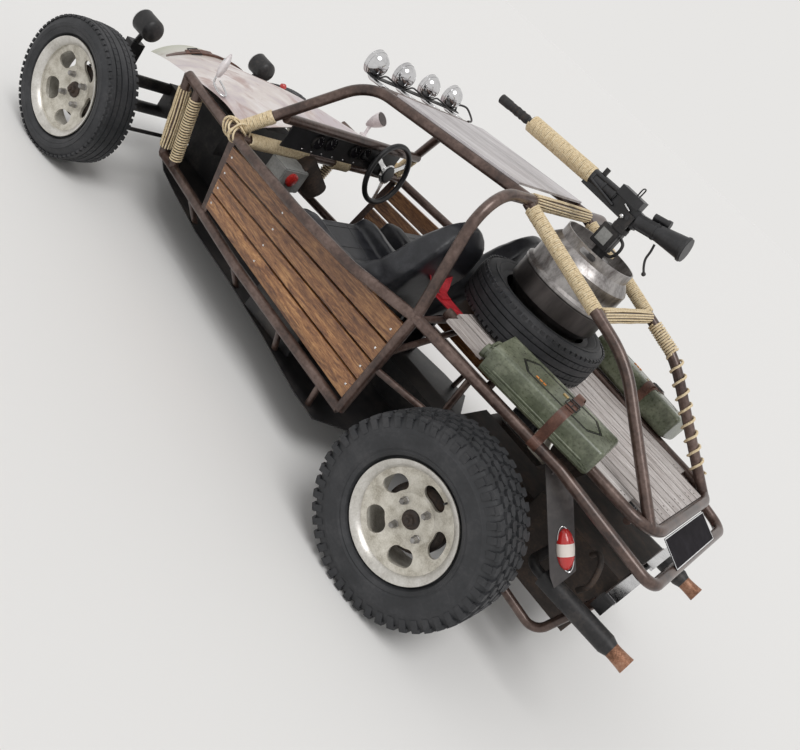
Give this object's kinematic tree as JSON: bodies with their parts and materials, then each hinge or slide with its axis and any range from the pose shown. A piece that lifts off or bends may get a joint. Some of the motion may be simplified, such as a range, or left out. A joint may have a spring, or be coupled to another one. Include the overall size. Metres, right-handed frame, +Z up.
{
  "type": "rat rod",
  "caption": "Open tube-framed rat rod on an old rear-engined floor pan, with wood sides, rope-wound tubes, steering front wheels and a swivelling mock gun on its deck.",
  "frame": {"origin": "ground point below the middle of the overall length and width", "axes": "+X forward, +Y to the left, +Z up"},
  "size_m": [3.4696, 1.662, 1.5146],
  "materials": {
    "rusty_tube": "rough",
    "stained_wood": "satin",
    "weathered_wood": "matte",
    "patina_paint": "worn",
    "black_steel": "satin",
    "cast_aluminium": "satin",
    "tyre_rubber": "matte",
    "iron": "rough",
    "chrome_trim": "polished",
    "black_leather": "satin",
    "brown_leather": "worn",
    "rope": "fibrous",
    "olive_paint": "worn",
    "weathered_sheet": "worn",
    "keg_steel": "worn",
    "black_plastic": "matte",
    "red_lens": "gloss",
    "plate_black": "gloss"
  },
  "bodies": {
    "chassis": {"side_frame_left": "rusty_tube", "side_frame_right": "rusty_tube", "main_hoop": "rusty_tube", "screen_frame": "rusty_tube", "rear_cage": "rusty_tube", "rear_rails": "rusty_tube", "deck_loop": "rusty_tube", "deck_boards": "weathered_wood", "roof_panel": "weathered_sheet", "side_slats": "stained_wood", "floor_pan": "black_steel", "bonnet": "patina_paint", "bonnet_strap": "brown_leather", "front_beam": "black_steel", "front_tank": "black_steel", "steering_column": "black_plastic", "dash_panel": "black_plastic", "seat_left": "black_leather", "seat_right": "black_leather", "levers": "black_steel", "rear_axle": "iron", "engine_block": "iron", "exhausts": "black_steel", "engine_guards": "rusty_tube", "spare_tyre": "tyre_rubber", "keg": "keg_steel", "gun_post": "black_steel", "fuel_cans": "olive_paint", "tail_panels": "black_plastic", "tail_lamps": "red_lens", "number_plate": "plate_black", "headlamps": "black_steel", "roof_lamps": "chrome_trim", "mirrors": "chrome_trim", "rope_front": "rope", "rope_rear": "rope"},
    "knuckle_left": {"knuckle_left": "black_steel"},
    "knuckle_right": {"knuckle_right": "black_steel"},
    "tie_rod": {"tie_rod": "black_steel"},
    "steering_wheel": {"steering_wheel": "black_plastic"},
    "gun_yoke": {"gun_yoke": "black_steel"},
    "gun": {"gun": "black_steel"},
    "wheel_fl": {"rim_fl": "cast_aluminium", "tyre_fl": "tyre_rubber", "drum_fl": "iron"},
    "wheel_fr": {"rim_fr": "cast_aluminium", "tyre_fr": "tyre_rubber", "drum_fr": "iron"},
    "wheel_rl": {"rim_rl": "cast_aluminium", "tyre_rl": "tyre_rubber", "drum_rl": "iron"},
    "wheel_rr": {"rim_rr": "cast_aluminium", "tyre_rr": "tyre_rubber", "drum_rr": "iron"}
  },
  "joints": [
    {"name": "steer_left", "type": "hinge", "parent": "chassis", "child": "knuckle_left", "pos_m": [1.435, 0.482, 0.3], "axis": [0, 0, 1], "range_deg": [-28, 28]},
    {"name": "steer_right", "type": "hinge", "parent": "chassis", "child": "knuckle_right", "pos_m": [1.435, -0.482, 0.3], "axis": [0, 0, 1], "range_deg": [-28, 28]},
    {"name": "tie_rod_pin", "type": "hinge", "parent": "knuckle_left", "child": "tie_rod", "pos_m": [1.325, 0.482, 0.24], "axis": [0, 0, 1], "range_deg": [-28, 28]},
    {"name": "steering_wheel_turn", "type": "hinge", "parent": "chassis", "child": "steering_wheel", "pos_m": [0.483, -0.25, 0.782], "axis": [-0.9848, 0, 0.1736], "range_deg": [-394, 394]},
    {"name": "spin_fl", "type": "hinge", "parent": "knuckle_left", "child": "wheel_fl", "pos_m": [1.435, 0.62, 0.3], "axis": [0, 1, 0], "continuous": true},
    {"name": "spin_fr", "type": "hinge", "parent": "knuckle_right", "child": "wheel_fr", "pos_m": [1.435, -0.62, 0.3], "axis": [0, 1, 0], "continuous": true},
    {"name": "spin_rl", "type": "hinge", "parent": "chassis", "child": "wheel_rl", "pos_m": [-0.965, 0.72, 0.36], "axis": [0, 1, 0], "continuous": true},
    {"name": "spin_rr", "type": "hinge", "parent": "chassis", "child": "wheel_rr", "pos_m": [-0.965, -0.72, 0.36], "axis": [0, 1, 0], "continuous": true},
    {"name": "gun_swivel", "type": "hinge", "parent": "chassis", "child": "gun_yoke", "pos_m": [-0.585, 0, 1.415], "axis": [0, 0, 1], "continuous": true},
    {"name": "gun_tilt", "type": "hinge", "parent": "gun_yoke", "child": "gun", "pos_m": [-0.585, 0, 1.415], "axis": [0, -1, 0], "range_deg": [0, 25]}
  ],
  "couplings": [
    {"joint": "steer_right", "follows": "steer_left", "ratio": 1},
    {"joint": "tie_rod_pin", "follows": "steer_left", "ratio": -1},
    {"joint": "steering_wheel_turn", "follows": "steer_left", "ratio": 14}
  ]
}
